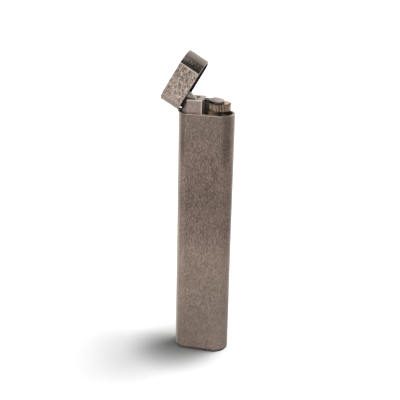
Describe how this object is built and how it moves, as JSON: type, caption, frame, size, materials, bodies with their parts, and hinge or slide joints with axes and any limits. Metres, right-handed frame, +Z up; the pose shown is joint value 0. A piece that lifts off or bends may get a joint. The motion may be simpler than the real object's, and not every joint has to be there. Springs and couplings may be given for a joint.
{
  "type": "pocket lighter",
  "caption": "Slim flip-top gas pocket lighter standing with its lid open, showing the wind guard, domed wheel bridge and knurled thumb wheel",
  "frame": {"origin": "centre of the flat foot of the case, on the surface the lighter stands on", "axes": "+X along the case's width, away from the lid hinge; +Y through its depth, away from the broad face in the picture; +Z up, from the foot to the lid"},
  "size_m": [0.0212, 0.0086, 0.0899],
  "materials": {
    "case_silver": "satin plate with a fine upright grain, lightly tarnished",
    "lid_silver": "satin plate with a coarse bark-like grain",
    "tank_brass": "drawn, dull, bright on the edge that shows at the rim",
    "plate_brass": "stamped, dull",
    "turned_brass": "turned, plain",
    "guard_satin": "satin, slightly pinkish, edges rubbed bright",
    "bridge_satin": "satin, slightly domed, edge dark",
    "arm_satin": "flat, fine slanting grain",
    "wheel_bronze": "fine knurl, browned, tooth tips rubbed bright",
    "hard_steel": "file-cut, dark",
    "pin_steel": "ground",
    "spring_steel": "plain drawn wire or strip",
    "hinge_dark": "darkened by tarnish",
    "flint_grey": "sintered, dull",
    "seal_black": "moulded, dull",
    "foam_grey": "open-cell, compressed",
    "filter_bronze": "sintered, porous"
  },
  "bodies": {
    "case": {"body_shell": "case_silver", "fuel_tank": "tank_brass", "base_plate": "plate_brass", "deck_plate": "plate_brass", "hinge_leaf": "hinge_dark", "hinge_pin": "pin_steel", "wind_guard": "guard_satin", "wheel_bridge": "bridge_satin", "wheel_axle": "pin_steel", "wheel_washer": "turned_brass", "detent_spring": "spring_steel", "lever_pin": "pin_steel", "lever_spring": "spring_steel", "valve_body": "turned_brass", "valve_gland": "turned_brass", "gland_seal": "seal_black", "valve_spring": "spring_steel", "gas_filter": "filter_bronze", "feed_tube": "turned_brass", "adjuster_body": "turned_brass", "metering_foam": "foam_grey", "filler_body": "turned_brass", "filler_spring": "spring_steel", "flint_tube": "turned_brass", "flint": "flint_grey", "flint_pusher": "turned_brass", "flint_spring": "spring_steel"},
    "lid": {"lid_shell": "lid_silver", "lid_frame": "plate_brass", "lid_arm": "arm_satin", "stop_pin": "pin_steel"},
    "wheel": {"thumb_wheel": "wheel_bronze", "striker": "hard_steel"},
    "lever": {"valve_lever": "pin_steel"},
    "nozzle": {"burner_nozzle": "turned_brass", "nozzle_seal": "seal_black"},
    "adjuster": {"adjuster_screw": "turned_brass", "adjuster_o_ring": "seal_black"},
    "filler": {"filler_stem": "turned_brass", "filler_seal": "seal_black"},
    "flint_plug": {"flint_screw": "turned_brass"}
  },
  "joints": [
    {"name": "lid_hinge", "type": "hinge", "parent": "case", "child": "lid", "pos_m": [-0.00785, 0, 0.07315], "axis": [0, -1, 0], "range_deg": [-60, 0]},
    {"name": "wheel_spin", "type": "hinge", "parent": "case", "child": "wheel", "pos_m": [0.0037, 0, 0.0739], "axis": [0, 0, 1], "continuous": true},
    {"name": "lever_rock", "type": "hinge", "parent": "case", "child": "lever", "pos_m": [-0.00075, 0, 0.0701], "axis": [0, 1, 0], "range_deg": [-14.05, 0], "deforming": ["lever_spring"]},
    {"name": "nozzle_lift", "type": "slide", "parent": "case", "child": "nozzle", "axis": [0, 0, 1], "range_m": [-0.00055, 0], "deforming": ["valve_spring"]},
    {"name": "adjuster_turn", "type": "hinge", "parent": "case", "child": "adjuster", "pos_m": [-0.003, 0, 0.0005], "axis": [0, 0, 1], "range_deg": [-170, 170]},
    {"name": "filler_press", "type": "slide", "parent": "case", "child": "filler", "axis": [0, 0, 1], "range_m": [0, 0.0008], "stiffness_N_per_m": 400, "springref_m": -0.001, "deforming": ["filler_spring"]},
    {"name": "flint_screw_turn", "type": "hinge", "parent": "case", "child": "flint_plug", "pos_m": [0.00165, 0, 0.0005], "axis": [0, 0, 1], "continuous": true}
  ],
  "couplings": [
    {"joint": "lever_rock", "follows": "lid_hinge", "ratio": 0.234},
    {"joint": "nozzle_lift", "follows": "lid_hinge", "m_per_rad": 0.000525}
  ]
}
